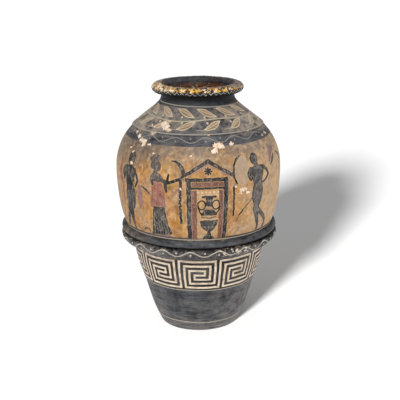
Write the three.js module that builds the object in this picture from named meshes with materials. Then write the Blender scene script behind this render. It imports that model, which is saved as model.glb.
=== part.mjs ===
// A painted terracotta jar in the manner of a South Italian krater: an ovoid belly over a
// tapering lower body, with a rolled lip and a heavy double moulding below the picture band.
//
// The whole jar is one fired piece, so it is one closed solid, turned about the Z axis.
// Its outline runs from the middle of the underside, up the outside, over the lip, and down
// the inside to the middle of the floor. Millimetres, +Z up, origin under the base's centre.

import * as THREE from 'three';

// ---- Driving dimensions ------------------------------------------------------------------

const height = 620;             // from the ground to the top of the lip
const wallThickness = 10;       // fired clay, thrown by hand
const floorThickness = 14;
const footRadius = 100.6;       // the flat underside

const mouldingFootRadius = 166.2;   // where the moulding leaves the lower body
const mouldingFootHeight = 212;
const flangeLipRadius = 198.5;
const flangeLipHeight = 242;
const grooveRadius = 181;       // the deep groove between the flange and the roll above it
const grooveHeight = 248.5;
const grooveWidth = 1.5;
const rollRadius = 196.5;
const rollCentreHeight = 259;
const bellyFootRadius = 185.2;  // where the picture band starts
const bellyFootHeight = 269.5;

const ledgeRadius = 162.2;      // the small step under the shoulder
const ledgeHeight = 518.5;
const ledgeStep = 1.6;

const lipCentreRadius = 97;     // the rolled lip is an elliptical ring
const lipHalfWidth = 17.1;
const lipHalfHeight = 12.5;
const neckRadius = 90;

const turns = 68;               // facets around the jar, a multiple of four

// ---- Outline helpers ---------------------------------------------------------------------

const point = (radius, z) => new THREE.Vector2(radius, z);

const throughPoints = (...stations) => new THREE.SplineCurve(stations.map(([r, z]) => point(r, z)));

// Evenly spaced points of a curve, from its start to its end.
const along = (curve, steps) => curve.getSpacedPoints(steps);

// The same curve moved towards the inside of the jar by the wall's thickness, for a curve
// that climbs the outside.
function insideOf(curve, steps) {
  const points = [];
  for (let i = 0; i <= steps; i++) {
    const here = curve.getPointAt(i / steps);
    const climb = curve.getTangentAt(i / steps);
    points.push(point(here.x - climb.y * wallThickness, here.y + climb.x * wallThickness));
  }
  return points;
}

// ---- The jar's outer curves, from the ground up -------------------------------------------

// The lower body widens steadily, a little hollow in its middle.
const lowerBody = throughPoints(
  [footRadius, 0],
  [116.7, 37],
  [128.8, 74],
  [139.9, 112],
  [152.2, 149],
  [161.8, 184],
  [mouldingFootRadius, mouldingFootHeight],
);

// The flange swells out from the lower body to a blunt lip, then turns in to the groove.
const flangeUnder = new THREE.CubicBezierCurve(
  point(mouldingFootRadius, mouldingFootHeight),
  point(mouldingFootRadius + 12, mouldingFootHeight + 9),
  point(flangeLipRadius - 1.5, flangeLipHeight - 16),
  point(flangeLipRadius, flangeLipHeight),
);
const flangeTop = new THREE.CubicBezierCurve(
  point(flangeLipRadius, flangeLipHeight),
  point(flangeLipRadius, flangeLipHeight + 4),
  point(flangeLipRadius - 4, grooveHeight),
  point(grooveRadius, grooveHeight),
);

// The upper roll stands on the groove and meets the belly above.
const rollUnder = new THREE.CubicBezierCurve(
  point(grooveRadius, grooveHeight + grooveWidth),
  point(rollRadius - 5, grooveHeight + grooveWidth),
  point(rollRadius, grooveHeight + 5),
  point(rollRadius, rollCentreHeight),
);
const rollTop = new THREE.CubicBezierCurve(
  point(rollRadius, rollCentreHeight),
  point(rollRadius, rollCentreHeight + 5),
  point(rollRadius - 4, bellyFootHeight),
  point(bellyFootRadius, bellyFootHeight),
);

// The belly carries the painted band, and is widest at two thirds of the height.
const belly = throughPoints(
  [bellyFootRadius, bellyFootHeight],
  [197.2, 310],
  [203.9, 360],
  [206.2, 409],
  [202.1, 446],
  [186.9, 484],
  [ledgeRadius - ledgeStep / 2, ledgeHeight - ledgeStep],
);

// The shoulder slopes in to the neck, which rises under the lip.
const shoulder = throughPoints(
  [ledgeRadius + ledgeStep / 2, ledgeHeight],
  [136.2, 540],
  [108.5, 562],
  [93.5, 578],
  [neckRadius, 594],
);

// The rolled lip: around the outside from the neck to its top, then over to the mouth.
const lipArc = (startDegrees, endDegrees) => new THREE.EllipseCurve(
  lipCentreRadius,
  height - lipHalfHeight,
  lipHalfWidth,
  lipHalfHeight,
  THREE.MathUtils.degToRad(startDegrees),
  THREE.MathUtils.degToRad(endDegrees),
);
const lipOutside = lipArc(-112, 90);
const lipInside = lipArc(90, 180);

// ---- The closed outline -------------------------------------------------------------------

const outside = [
  point(0, 0),
  ...along(lowerBody, 7),
  ...along(flangeUnder, 5).slice(1),
  ...along(flangeTop, 3).slice(1),
  ...along(rollUnder, 4),
  ...along(rollTop, 3).slice(1),
  ...along(belly, 10).slice(1),
  ...along(shoulder, 6),
  ...along(lipOutside, 8).slice(1),
  ...along(lipInside, 3).slice(1),
];

// Inside, the wall follows the outer curves at its own thickness and ignores the moulding.
const insideShoulder = insideOf(shoulder, 5).reverse();
const insideBelly = insideOf(belly, 7).reverse();
const insideLowerBody = insideOf(lowerBody, 5).reverse();
const insideFootRadius = insideLowerBody.at(-1).x;

const inside = [
  ...insideShoulder.slice(0, -1),
  ...insideBelly,
  ...insideLowerBody.slice(0, -1),
  point(insideFootRadius + 2, floorThickness + 8),
  point(insideFootRadius - 8, floorThickness),
  point(0, floorThickness),
];

// ---- The solid ----------------------------------------------------------------------------

const firedClay = new THREE.MeshStandardMaterial({ color: 0x4a4745, roughness: 0.62, metalness: 0 });

const jarGeometry = new THREE.LatheGeometry([...outside, ...inside], turns);
jarGeometry.rotateX(Math.PI / 2);   // a lathe turns about Y, and the jar stands on Z

const jar = new THREE.Mesh(jarGeometry, firedClay);
jar.name = 'krater_jar';

const krater = new THREE.Group();
krater.add(jar);

export default krater;
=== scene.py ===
# %% [markdown]
# # A painted terracotta jar
# The jar is one fired piece: a tapering lower body, a heavy double moulding, a round belly, a
# sloping shoulder and a rolled lip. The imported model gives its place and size. This script gives
# it a finer skin, the painted bands and figures, the flaked plaster and the crusted lip.

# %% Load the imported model
import math

import bpy
import numpy as np
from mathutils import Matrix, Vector, noise


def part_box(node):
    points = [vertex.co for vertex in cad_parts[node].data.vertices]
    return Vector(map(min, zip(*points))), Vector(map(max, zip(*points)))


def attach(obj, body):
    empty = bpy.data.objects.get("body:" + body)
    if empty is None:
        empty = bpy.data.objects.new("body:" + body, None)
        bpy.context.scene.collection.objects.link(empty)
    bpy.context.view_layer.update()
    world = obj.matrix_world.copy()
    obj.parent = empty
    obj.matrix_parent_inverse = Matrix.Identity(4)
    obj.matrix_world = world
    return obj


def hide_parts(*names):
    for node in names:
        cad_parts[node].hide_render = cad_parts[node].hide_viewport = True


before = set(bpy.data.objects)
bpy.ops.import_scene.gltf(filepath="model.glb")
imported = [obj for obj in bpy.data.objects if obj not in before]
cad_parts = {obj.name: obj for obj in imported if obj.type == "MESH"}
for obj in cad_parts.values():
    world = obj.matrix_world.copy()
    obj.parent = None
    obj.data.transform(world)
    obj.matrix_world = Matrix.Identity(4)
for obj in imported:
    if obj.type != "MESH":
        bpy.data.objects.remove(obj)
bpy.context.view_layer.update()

low_corner, high_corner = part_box("krater_jar")
jar_height = high_corner[2] - low_corner[2]
MM = jar_height / 620.0       # one millimetre of the jar's drawing, in metres
print("jar height", round(jar_height, 4), "m")

# %% [markdown]
# ## The camera
# A jar for a catalogue is seen from a little above, so that the top of the lip shows, and from far
# enough away that its sides stay nearly upright. The camera's place is given in heights of the jar.

# %% Camera
CAMERA_BACK, CAMERA_UP = 3.5, 1.539                     # in heights of the jar
LOOK_DOWN, LOOK_ASIDE, LEAN = 16.39, -0.09, -0.51       # in degrees

scene = bpy.context.scene
scene.view_settings.view_transform = "Standard"
camera_data = bpy.data.cameras.new("studio_camera")
camera_data.sensor_width = 36.0
camera_data.lens = 79.75
camera = bpy.data.objects.new("studio_camera", camera_data)
camera.location = (0.0, -CAMERA_BACK * jar_height, CAMERA_UP * jar_height)
camera.rotation_euler = (math.radians(90.0 - LOOK_DOWN), 0.0, math.radians(LOOK_ASIDE))
camera.rotation_euler.rotate_axis("Z", math.radians(LEAN))
scene.collection.objects.link(camera)
scene.camera = camera
print("camera at", [round(place, 3) for place in camera.location], "m")

# %% [markdown]
# ## The floor
# A plain sheet of matt white paper, so large that the main view never shows its edge. It is a
# plane at the height of the jar's underside, and it belongs to the stage and not to the part.

# %% Two helpers, and the floor
def deselect_all():
    """Operators act on whatever is selected, so every step starts with nothing selected."""
    if bpy.context.object and bpy.context.object.mode != "OBJECT":
        bpy.ops.object.mode_set(mode="OBJECT")
    bpy.ops.object.select_all(action="DESELECT")


def srgb(hex_colour):
    """Turns an sRGB hex colour into the linear values that a shader takes."""
    channels = [int(hex_colour[i:i + 2], 16) / 255.0 for i in (1, 3, 5)]
    linear = [c / 12.92 if c <= 0.04045 else ((c + 0.055) / 1.055) ** 2.4 for c in channels]
    return (*linear, 1.0)


FLOOR_SIZE, FLOOR_BACK = 70.0, 2.0       # in metres

deselect_all()
bpy.ops.mesh.primitive_plane_add(size=FLOOR_SIZE, location=(0.0, FLOOR_BACK, low_corner[2]))
floor = bpy.context.object
floor.name = "studio_floor"
floor_paint = bpy.data.materials.new("matt_white_floor")
floor_paint.use_nodes = True
floor_shader = floor_paint.node_tree.nodes["Principled BSDF"]
floor_shader.inputs["Base Color"].default_value = srgb("#f4f4f4")
floor_shader.inputs["Roughness"].default_value = 0.9
floor.data.materials.append(floor_paint)
print("floor at height", round(low_corner[2], 4), "m")

# %% [markdown]
# ## The light
# One large lamp stands high in front, a little to the left, and a weaker one hangs above. These
# two light the jar only. Pale surroundings fill the shadows. A low, soft sun shines on the floor
# only and throws the jar's long shadow to the right and back. Light linking keeps the jobs apart.

# %% Surroundings and lamps
world = bpy.data.worlds.new("pale_studio")
world.use_nodes = True
world.node_tree.nodes["Background"].inputs["Color"].default_value = (1.0, 1.0, 1.0, 1.0)
world.node_tree.nodes["Background"].inputs["Strength"].default_value = 0.36
scene.world = world


def lamp_towards(name, kind, place, aim, size, power):
    """A soft lamp at a place, turned to shine at a point. A sun's size is an angle in degrees."""
    lamp_data = bpy.data.lights.new(name, kind)
    lamp_data.energy = power
    if kind == "AREA":
        lamp_data.size = size
    else:
        lamp_data.angle = math.radians(size)
    lamp = bpy.data.objects.new(name, lamp_data)
    lamp.location = place
    lamp.rotation_euler = (Vector(aim) - Vector(place)).to_track_quat("-Z", "Y").to_euler()
    scene.collection.objects.link(lamp)
    return lamp


belly_middle = (0.0, 0.0, 0.55 * jar_height)
key_lamp = lamp_towards("key_lamp", "AREA", (-0.5, -2.5, 2.4), belly_middle, 0.7, 44.0)
top_lamp = lamp_towards("top_lamp", "AREA", (0.1, -0.5, 2.4), belly_middle, 1.2, 12.0)
floor_sun = lamp_towards("floor_sun", "SUN", (-0.646, -1.617, 0.63), (0.0, 0.0, 0.0), 9.0, 7.9)
lit_floor = bpy.data.collections.new("lit_by_floor_sun")
lit_floor.objects.link(floor)
floor_sun.light_linking.receiver_collection = lit_floor
lit_jar = bpy.data.collections.new("lit_by_lamps")
key_lamp.light_linking.receiver_collection = lit_jar
top_lamp.light_linking.receiver_collection = lit_jar
print("lamps:", key_lamp.name, top_lamp.name, floor_sun.name)

# %% [markdown]
# ## The jar's outline
# A potter judges a jar by its outline, so that comes first, as a chain of points from the middle
# of the underside, up the outside, over the lip and down the inside. Round stretches are curves
# through a few stations. A fine step is used where the moulding and lip turn quickly.

# %% Curve helpers
def through(stations, step):
    """Points about a step apart on a smooth curve through the stations (radius, height)."""
    stations = np.array(stations, float)
    padded = np.vstack([stations[:1], stations, stations[-1:]])
    fine = []
    for i in range(len(stations) - 1):
        before, start, end, after = padded[i:i + 4]
        t = np.linspace(0.0, 1.0, 40, endpoint=False)[:, None]
        leave, arrive = (end - before) / 2.0, (after - start) / 2.0
        fine.append(
            (2.0 * start - 2.0 * end + leave + arrive) * t ** 3
            + (-3.0 * start + 3.0 * end - 2.0 * leave - arrive) * t ** 2
            + leave * t + start
        )
    return evenly(np.vstack([*fine, stations[-1:]]), step)


def bezier(start, handle_a, handle_b, end, step):
    """Points about a step apart on a cubic curve."""
    t = np.linspace(0.0, 1.0, 80)[:, None]
    start, handle_a, handle_b, end = map(np.array, (start, handle_a, handle_b, end))
    u = 1.0 - t
    curve = u ** 3 * start + 3.0 * u * u * t * handle_a + 3.0 * u * t * t * handle_b + t ** 3 * end
    return evenly(curve, step)


def evenly(curve, step):
    """The same line with its points spaced evenly, about a step apart."""
    lengths = np.hypot(*np.diff(curve, axis=0).T)
    run = np.concatenate([[0.0], np.cumsum(lengths)])
    places = np.linspace(0.0, run[-1], max(2, round(run[-1] / step) + 1))
    return np.column_stack([np.interp(places, run, curve[:, k]) for k in (0, 1)])


def inside_of(curve, thickness):
    """A curve moved into the clay by the wall's thickness."""
    climb = np.gradient(curve, axis=0)
    climb /= np.hypot(*climb.T)[:, None]
    return curve + thickness * np.column_stack([-climb[:, 1], climb[:, 0]])


print("curve helpers are ready")

# %% Sizes of the outline, in millimetres
WALL = 10.0
FLOOR_TOP = 14.0
FOOT_RADIUS = 100.6
MOULDING_FOOT = (166.2, 212.0)
FLANGE_LIP = (198.5, 242.0)
GROOVE = (181.0, 248.5)
ROLL_RADIUS, ROLL_MIDDLE = 196.5, 259.0
BELLY_FOOT = (185.2, 269.5)
LEDGE_RADIUS, LEDGE_HEIGHT, LEDGE_STEP = 162.2, 518.5, 1.6
LIP_RADIUS, LIP_MIDDLE, LIP_HALF_WIDTH, LIP_HALF_HEIGHT = 97.0, 607.5, 17.1, 12.5
NECK = (90.0, 594.0)
FOOT_WEAR = 2.0       # the foot's sharp edge has worn round
BODY_STEP, SHOULDER_STEP, FLANGE_STEP, ROLL_STEP = 5.5, 5.0, 2.6, 2.4       # between the points
print("top of the lip:", LIP_MIDDLE + LIP_HALF_HEIGHT, "mm")

# %% Curves of the outside
lower_body = through(
    [(FOOT_RADIUS + 0.6, FOOT_WEAR), (116.7, 37), (128.8, 74), (139.9, 112), (152.2, 149), (161.8, 184),
     MOULDING_FOOT], BODY_STEP)
flange_under = bezier(
    MOULDING_FOOT, (MOULDING_FOOT[0] + 12, MOULDING_FOOT[1] + 9),
    (FLANGE_LIP[0] - 1.5, FLANGE_LIP[1] - 16), FLANGE_LIP, FLANGE_STEP)
flange_top = bezier(
    FLANGE_LIP, (FLANGE_LIP[0], FLANGE_LIP[1] + 4), (FLANGE_LIP[0] - 4, GROOVE[1]), GROOVE, ROLL_STEP)
roll_under = bezier(
    (GROOVE[0], GROOVE[1] + 1.5), (ROLL_RADIUS - 5, GROOVE[1] + 1.5),
    (ROLL_RADIUS, GROOVE[1] + 5), (ROLL_RADIUS, ROLL_MIDDLE), ROLL_STEP)
roll_top = bezier(
    (ROLL_RADIUS, ROLL_MIDDLE), (ROLL_RADIUS, ROLL_MIDDLE + 5),
    (ROLL_RADIUS - 4, BELLY_FOOT[1]), BELLY_FOOT, ROLL_STEP)
belly = through(
    [BELLY_FOOT, (197.2, 310), (203.9, 360), (206.1, 409), (202.1, 446), (186.9, 484),
     (LEDGE_RADIUS - LEDGE_STEP / 2, LEDGE_HEIGHT - LEDGE_STEP)], BODY_STEP)
shoulder = through(
    [(LEDGE_RADIUS + LEDGE_STEP / 2, LEDGE_HEIGHT), (136.2, 540), (108.5, 562), (93.5, 578), NECK],
    SHOULDER_STEP)
lip_angle = np.radians(np.linspace(-112.0, 180.0, 32))
lip = np.column_stack([
    LIP_RADIUS + LIP_HALF_WIDTH * np.cos(lip_angle), LIP_MIDDLE + LIP_HALF_HEIGHT * np.sin(lip_angle)])
print("belly's greatest radius:", round(belly[:, 0].max(), 1), "mm")

# %% [markdown]
# The inside follows the outside at the wall's thickness and passes over the moulding, which a
# potter adds on the outside. Every second point is enough there, as little of it is ever seen.

# %% Join the outline
outside = np.vstack([
    [(0.0, 0.0), (40.0, 0.0), (80.0, 0.0), (FOOT_RADIUS - FOOT_WEAR, 0.0), (FOOT_RADIUS - 0.5, 0.5)],
    lower_body, flange_under[1:], flange_top[1:], roll_under, roll_top[1:], belly[1:], shoulder, lip[1:]])
inner_wall = np.vstack([
    inside_of(shoulder, WALL)[::-1][1::2], inside_of(belly, WALL)[::-1][1::2],
    inside_of(lower_body, WALL)[::-1][2::2][:-1]])
inner_foot = inner_wall[-1, 0]
floor_inside = [
    (inner_foot - 2, FLOOR_TOP + 6), (inner_foot - 10, FLOOR_TOP), (50.0, FLOOR_TOP), (0.0, FLOOR_TOP)]
outline = np.vstack([outside, inner_wall, floor_inside])
print("outline has", len(outline), "points, widest", round(outline[:, 0].max(), 1), "mm")

# %% [markdown]
# ## Turning the jar
# On the wheel a jar is its outline turned about an axis, and the spin operator does the same. A
# single point is drawn out, step by step, into the outline, and the chain is then spun round. The
# doubled points at the seam and on the axis are merged, and the faces are made to point outwards.

# %% Draw the outline and spin it
COLUMNS = 180
SAME_PLACE = 0.05       # points closer than this many millimetres are merged

deselect_all()
bpy.ops.mesh.primitive_plane_add(size=0.01, location=(0.0, 0.0, 0.0))
jar = bpy.context.object
jar.name = "painted_jar"
jar.data.name = "painted_jar"
bpy.ops.object.mode_set(mode="EDIT")
bpy.ops.mesh.merge(type="CENTER")
bpy.ops.mesh.select_all(action="SELECT")
here = np.array([0.0, 0.0])
for radius, height in outline[1:]:
    move = (np.array([radius, height]) - here) * MM
    bpy.ops.mesh.extrude_region_move(TRANSFORM_OT_translate={"value": (0.0, -move[0], move[1])})
    here = np.array([radius, height])
bpy.ops.mesh.select_all(action="SELECT")
bpy.ops.mesh.spin(steps=COLUMNS, angle=2.0 * math.pi, center=(0.0, 0.0, 0.0), axis=(0.0, 0.0, 1.0))
bpy.ops.mesh.select_all(action="SELECT")
bpy.ops.mesh.remove_doubles(threshold=SAME_PLACE * MM)
bpy.ops.mesh.normals_make_consistent(inside=False)
bpy.ops.object.mode_set(mode="OBJECT")
lit_jar.objects.link(jar)
print("turned jar:", len(jar.data.vertices), "points", len(jar.data.polygons), "faces")


# %% [markdown]
# ## The painter's shapes
# The picture band is painted with filled shapes: a shrine with a two-handled vase in it, a woman
# with her arms held out, and two standing men. A point on the jar is known by its turn round the
# axis, in degrees from the front, and by its height in millimetres. Every shape answers how far a
# point lies outside its edge, and the colours keep the least answer. The hidden side gets the same
# figures again, more widely spaced.

# %% A canvas that wraps round the jar
DEGREE = 3.5       # one degree of turn is about this many millimetres on the belly
FAR = 8.0          # distances are kept up to this many millimetres
COLOURS = ["wash", "mauve", "red", "black", "cream", "plaster"]


class Canvas:
    """Distances from a set of points to the painted shapes, one list for each colour."""

    def __init__(self, turn, height):
        self.turn = turn
        self.up = height + 0.5 * np.sin(turn * 0.9) + 0.3 * np.sin(turn * 2.3 + 1.0)
        self.distance = {colour: np.full(len(turn), FAR) for colour in COLOURS}
        self.face(0.0)

    def face(self, middle):
        """Turns the jar, so that the next shapes are drawn about this middle."""
        self.across = ((self.turn - middle + 180.0) % 360.0 - 180.0) * DEGREE
        self.across = self.across + 0.5 * np.sin(self.up * 0.21) + 0.3 * np.sin(self.up * 0.53 + 2.0)

    def add(self, colour, distance):
        """Keeps the least distance for a colour."""
        np.minimum(self.distance[colour], distance, out=self.distance[colour])

    def from_line(self, start, end):
        """How far each point lies from a straight line, and where along it, from 0 to 1."""
        (x0, y0), (x1, y1) = start, end
        ax, bx = x0 * DEGREE, x1 * DEGREE
        length = max((bx - ax) ** 2 + (y1 - y0) ** 2, 1e-6)
        t = ((self.across - ax) * (bx - ax) + (self.up - y0) * (y1 - y0)) / length
        t = np.clip(t, 0.0, 1.0)
        return np.hypot(self.across - ax - t * (bx - ax), self.up - y0 - t * (y1 - y0)), t

    def from_oval(self, middle, half_width, half_height):
        """How far each point lies outside an oval, its half sizes in millimetres."""
        x, y = self.across - middle[0] * DEGREE, self.up - middle[1]
        reach = np.hypot(x / half_width, y / half_height)
        slope = np.hypot(x / half_width ** 2, y / half_height ** 2) / np.maximum(reach, 1e-3)
        return (reach - 1.0) / np.maximum(slope, 1e-3)

    def stroke(self, colour, path, widths):
        """A brush stroke along a path, with a width at each of its points."""
        widths = np.interp(np.linspace(0, 1, len(path)), np.linspace(0, 1, len(widths)), widths) / 2.0
        for start, end, w0, w1 in zip(path, path[1:], widths, widths[1:]):
            gap, t = self.from_line(start, end)
            self.add(colour, gap - w0 - t * (w1 - w0))

    def blob(self, colour, middle, half_width, half_height):
        """A filled oval, its half sizes in millimetres."""
        self.add(colour, self.from_oval(middle, half_width, half_height))

    def ring(self, colour, middle, half_width, half_height, width):
        """The outline of an oval."""
        self.add(colour, np.abs(self.from_oval(middle, half_width, half_height)) - width / 2.0)

    def panel(self, colour, corners):
        """A filled shape with straight sides between its corners."""
        nearest = np.full(len(self.across), 1e6)
        inside = np.zeros(len(self.across), bool)
        for (x0, y0), (x1, y1) in zip(corners, corners[1:] + corners[:1]):
            ax, bx = x0 * DEGREE, x1 * DEGREE
            nearest = np.minimum(nearest, self.from_line((x0, y0), (x1, y1))[0])
            crosses = (self.up < y0) != (self.up < y1)
            level = (self.up - y0) / (y1 - y0 if y1 != y0 else 1.0)
            inside ^= crosses & (self.across < ax + level * (bx - ax))
        self.add(colour, np.where(inside, -nearest, nearest))

    def bar(self, colour, left, right, low, high):
        """An upright or level bar."""
        self.panel(colour, [(left, low), (right, low), (right, high), (left, high)])

    def chip(self, middle, half_width, half_height):
        """A ragged spot where paint and slip have flaked off the plaster."""
        distance = self.from_oval(middle, half_width, half_height)
        ragged = (1.3 * np.sin(self.across * 0.9 + self.up * 0.4)
                  + 1.0 * np.sin(self.up * 1.1 - self.across * 0.5))
        self.add("plaster", distance + ragged * min(1.0, half_height / 4.0))


print("colours of the canvas:", ", ".join(COLOURS))

# %% [markdown]
# The shrine is a small temple front, seen straight on, with a gable that carries a rosette. Its
# bars are straight, so corners are enough for them. The vase inside it has a foot, a body in two
# tiers with a few cream flutes, and two ring handles.

# %% The shrine and its vase
def shrine(canvas):
    """A small temple front with a gable, and red and mauve strips beside its pale back wall."""
    canvas.bar("wash", -1.3, 13.3, 272, 400)
    for left, right in ((-5.1, -4.3), (15.9, 16.9)):
        canvas.bar("mauve", left, right, 272, 418)
    for left, right in ((-4.2, -1.4), (13.5, 15.7)):
        canvas.bar("red", left, right, 272, 398)
    canvas.bar("red", -4.2, 17.2, 408, 417.5)
    canvas.bar("black", -7.8, -5.1, 270, 427)
    canvas.bar("black", 16.8, 19.4, 270, 427)
    canvas.bar("black", -7.4, 19.0, 401.5, 406)
    canvas.bar("black", -8.5, 19.5, 419.5, 427.5)
    canvas.stroke("black", [(-10.5, 431), (6.5, 466), (22.5, 432)], [7, 8, 7])
    canvas.stroke("mauve", [(-6.5, 432), (6.5, 459), (18.5, 433)], [2.5, 2, 2.5])
    canvas.stroke("mauve", [(18.8, 436), (21.0, 431), (21.6, 424)], [5, 6, 3])
    canvas.blob("black", (6.3, 443), 2.2, 2.2)
    for petal in range(8):
        angle = math.tau * petal / 8
        tip = (6.3 + 7.6 * math.cos(angle) / DEGREE, 443 + 7.6 * math.sin(angle))
        canvas.stroke("black", [(6.3, 443), tip], [0.6, 3.6])
    for egg in range(6):
        canvas.blob("cream", (-0.2 + 2.6 * egg, 394), 2.6, 2.6)
    canvas.stroke("cream", [(1.8, 387.3), (13.0, 387.3)], [2, 2])


def amphora(canvas):
    """The vase inside the shrine, on its foot, with two ring handles."""
    canvas.panel("black", [(1.8, 381), (11.6, 381), (11.2, 386), (2.2, 386)])
    canvas.panel("black", [(4.4, 381), (9.4, 381), (8.6, 372), (9.2, 360), (4.6, 360), (5.2, 372)])
    canvas.stroke("mauve", [(6.8, 376), (6.9, 361)], [6, 9])
    for side in (-1, 1):
        middle = 6.7 + 4.7 * side
        canvas.ring("black", (middle, 363), 8.5, 11.0, 2.6)
        tail = [(6.7 + 7.3 * side, 358), (6.7 + 6.4 * side, 348), (6.7 + 5.1 * side, 341)]
        canvas.stroke("black", tail, [2.6, 2.6])
        canvas.stroke("cream", [(6.8 + 2.9 * side, 309), (6.8 + 1.2 * side, 301)], [2.2, 1.0])
    canvas.stroke("cream", [(6.8, 309), (6.8, 301)], [2.2, 1.0])
    canvas.panel("black", [(1.3, 312), (12.2, 312), (11.2, 305), (9.6, 299), (8.0, 295), (5.6, 295),
                           (4.0, 299), (2.4, 305)])
    canvas.stroke("red", [(4.2, 352), (9.4, 352)], [2, 2])
    canvas.panel("black", [(3.4, 350), (9.8, 350), (12, 341), (12.2, 337), (1.4, 337), (1.7, 341)])
    canvas.stroke("red", [(1.8, 334), (6.8, 329.5), (11.8, 334)], [1.5, 3, 1.5])
    canvas.stroke("cream", [(1.0, 326.8), (12.6, 326.8)], [1.6, 1.6])
    canvas.panel("black", [(0.6, 324), (12.9, 324), (12.2, 311), (1.3, 311)])
    canvas.stroke("black", [(6.8, 299), (6.8, 290)], [5, 5])
    canvas.panel("black", [(5.8, 293), (7.8, 293), (8.8, 284), (10.4, 280), (11.0, 274), (2.8, 274),
                           (3.2, 280), (4.9, 284)])


print("described: shrine, vase")

# %% [markdown]
# The figures are flat silhouettes, as on many painted pots: a head without features, a tunic or a
# bare body with straight or curved sides, and limbs as strokes that grow thinner. A brush does just
# this, so strokes, ovals and panels are enough for them.

# %% The woman and the two men
def woman(canvas):
    """A woman in a red tunic and a dark pleated skirt, who faces right with her arms held out."""
    canvas.blob("black", (-28.4, 451), 10.0, 12.0)
    canvas.blob("black", (-31.4, 452), 8.0, 9.0)
    for tip, height in ((-34.0, 467), (-32.2, 472), (-30.0, 474), (-27.8, 471)):
        canvas.stroke("black", [(-30.3, 459), (tip, height)], [12, 8])
    canvas.stroke("black", [(-29.4, 444), (-29.8, 430)], [9, 12])
    canvas.panel("black", [(-33.0, 428), (-29.5, 434), (-25.6, 433), (-23.8, 425), (-25.5, 415),
                           (-31.0, 415)])
    canvas.stroke("black", [(-31.5, 430), (-32.5, 418), (-31.5, 408)], [7, 7, 6])
    canvas.stroke("black", [(-27, 431), (-24, 418), (-21, 414), (-16, 419), (-12, 426), (-9.5, 431)],
                  [9, 7, 4])
    canvas.stroke("black", [(-21.5, 414), (-20.2, 424), (-19.8, 434)], [7, 5, 4])
    canvas.stroke("black", [(-22.5, 412), (-21.3, 393)], [8, 5])
    canvas.stroke("mauve", [(-18, 400), (-16, 390), (-13, 400)], [2.5, 3, 2.5])
    canvas.panel("red", [(-31, 418), (-25.5, 416), (-24, 400), (-22.8, 375), (-22.6, 357), (-27, 353),
                         (-33.2, 352), (-33, 365), (-32, 385), (-31.8, 405)])
    canvas.panel("black", [(-31.8, 352), (-24, 354), (-23.2, 350), (-21.5, 310), (-19.5, 290), (-20, 284),
                           (-26, 281), (-34, 280), (-36.5, 276), (-34, 300), (-32.5, 330)])
    canvas.panel("mauve", [(-36, 281), (-20, 281), (-20.5, 275), (-35, 275)])
    for pleat in range(6):
        top, foot = -31.0 + 1.3 * pleat, -33.2 + 2.3 * pleat
        canvas.stroke("cream", [(top, 347), (foot, 284)], [0.9, 1.7])


def cloaked_man(canvas):
    """A dark standing man whose cloak hangs from his left arm."""
    canvas.blob("black", (-52.2, 459), 13.0, 15.5)
    canvas.stroke("black", [(-52.5, 447), (-52.7, 436)], [10, 14])
    canvas.panel("black", [(-59.5, 432), (-57, 440), (-52, 442), (-48.5, 439), (-46.8, 430), (-47.5, 415),
                           (-49, 400), (-48, 388), (-47.3, 370), (-47.8, 350), (-49.5, 335), (-52, 330),
                           (-56.5, 330), (-58, 350), (-58, 372), (-56.8, 390), (-58, 405), (-60.3, 418)])
    canvas.stroke("black", [(-59, 434), (-61, 420), (-60, 405)], [8, 8, 6])
    canvas.stroke("black", [(-47.5, 434), (-45.5, 418), (-44.6, 407), (-46, 398), (-47, 392)], [7, 6, 4])
    canvas.stroke("black", [(-56, 335), (-57.5, 318), (-60.5, 300), (-64, 283)], [16, 12, 7])
    canvas.stroke("black", [(-53, 335), (-54, 300), (-54.5, 282)], [14, 11, 7])
    canvas.stroke("black", [(-41, 398), (-38, 393), (-35, 385)], [2.5, 4, 6])
    canvas.panel("mauve", [(-44.2, 398), (-41, 399), (-40.6, 375), (-42, 345), (-43.3, 334), (-44.3, 350),
                           (-44.6, 375)])


def spear_man(canvas):
    """A man who stands with crossed legs, one hand on his hip."""
    canvas.blob("black", (41.0, 460), 12.0, 13.0)
    canvas.stroke("black", [(41.5, 448), (42.5, 438)], [11, 16])
    canvas.panel("black", [(36.3, 441), (43, 444), (48.5, 442), (49.3, 434), (48, 420), (47, 405), (48, 390),
                           (48.3, 375), (47.6, 360), (46, 345), (44.5, 333), (41, 333), (40, 350), (38, 368),
                           (38.2, 385), (39.3, 400), (38.3, 412), (36, 425), (35, 435)])
    canvas.stroke("black", [(49, 438), (52.5, 428), (54.2, 416), (51, 406), (48, 400)], [7, 6, 4])
    canvas.stroke("black", [(36.5, 440), (35, 430), (35.2, 420), (37, 412)], [6, 6, 5])
    canvas.stroke("black", [(42, 338), (44, 318), (46.5, 296), (47.5, 280)], [16, 10, 6])
    canvas.stroke("black", [(44, 336), (47.5, 325), (52, 312), (55, 298), (54.5, 281)], [13, 9, 6])


print("described: woman, cloaked man, man with crossed legs")

# %% [markdown]
# Sashes, a bead string, a shield and a spear fill the gaps between the figures. The flakes come
# last. They lie thickest along the ledge, where the jar was knocked, and each has its own size.

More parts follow.
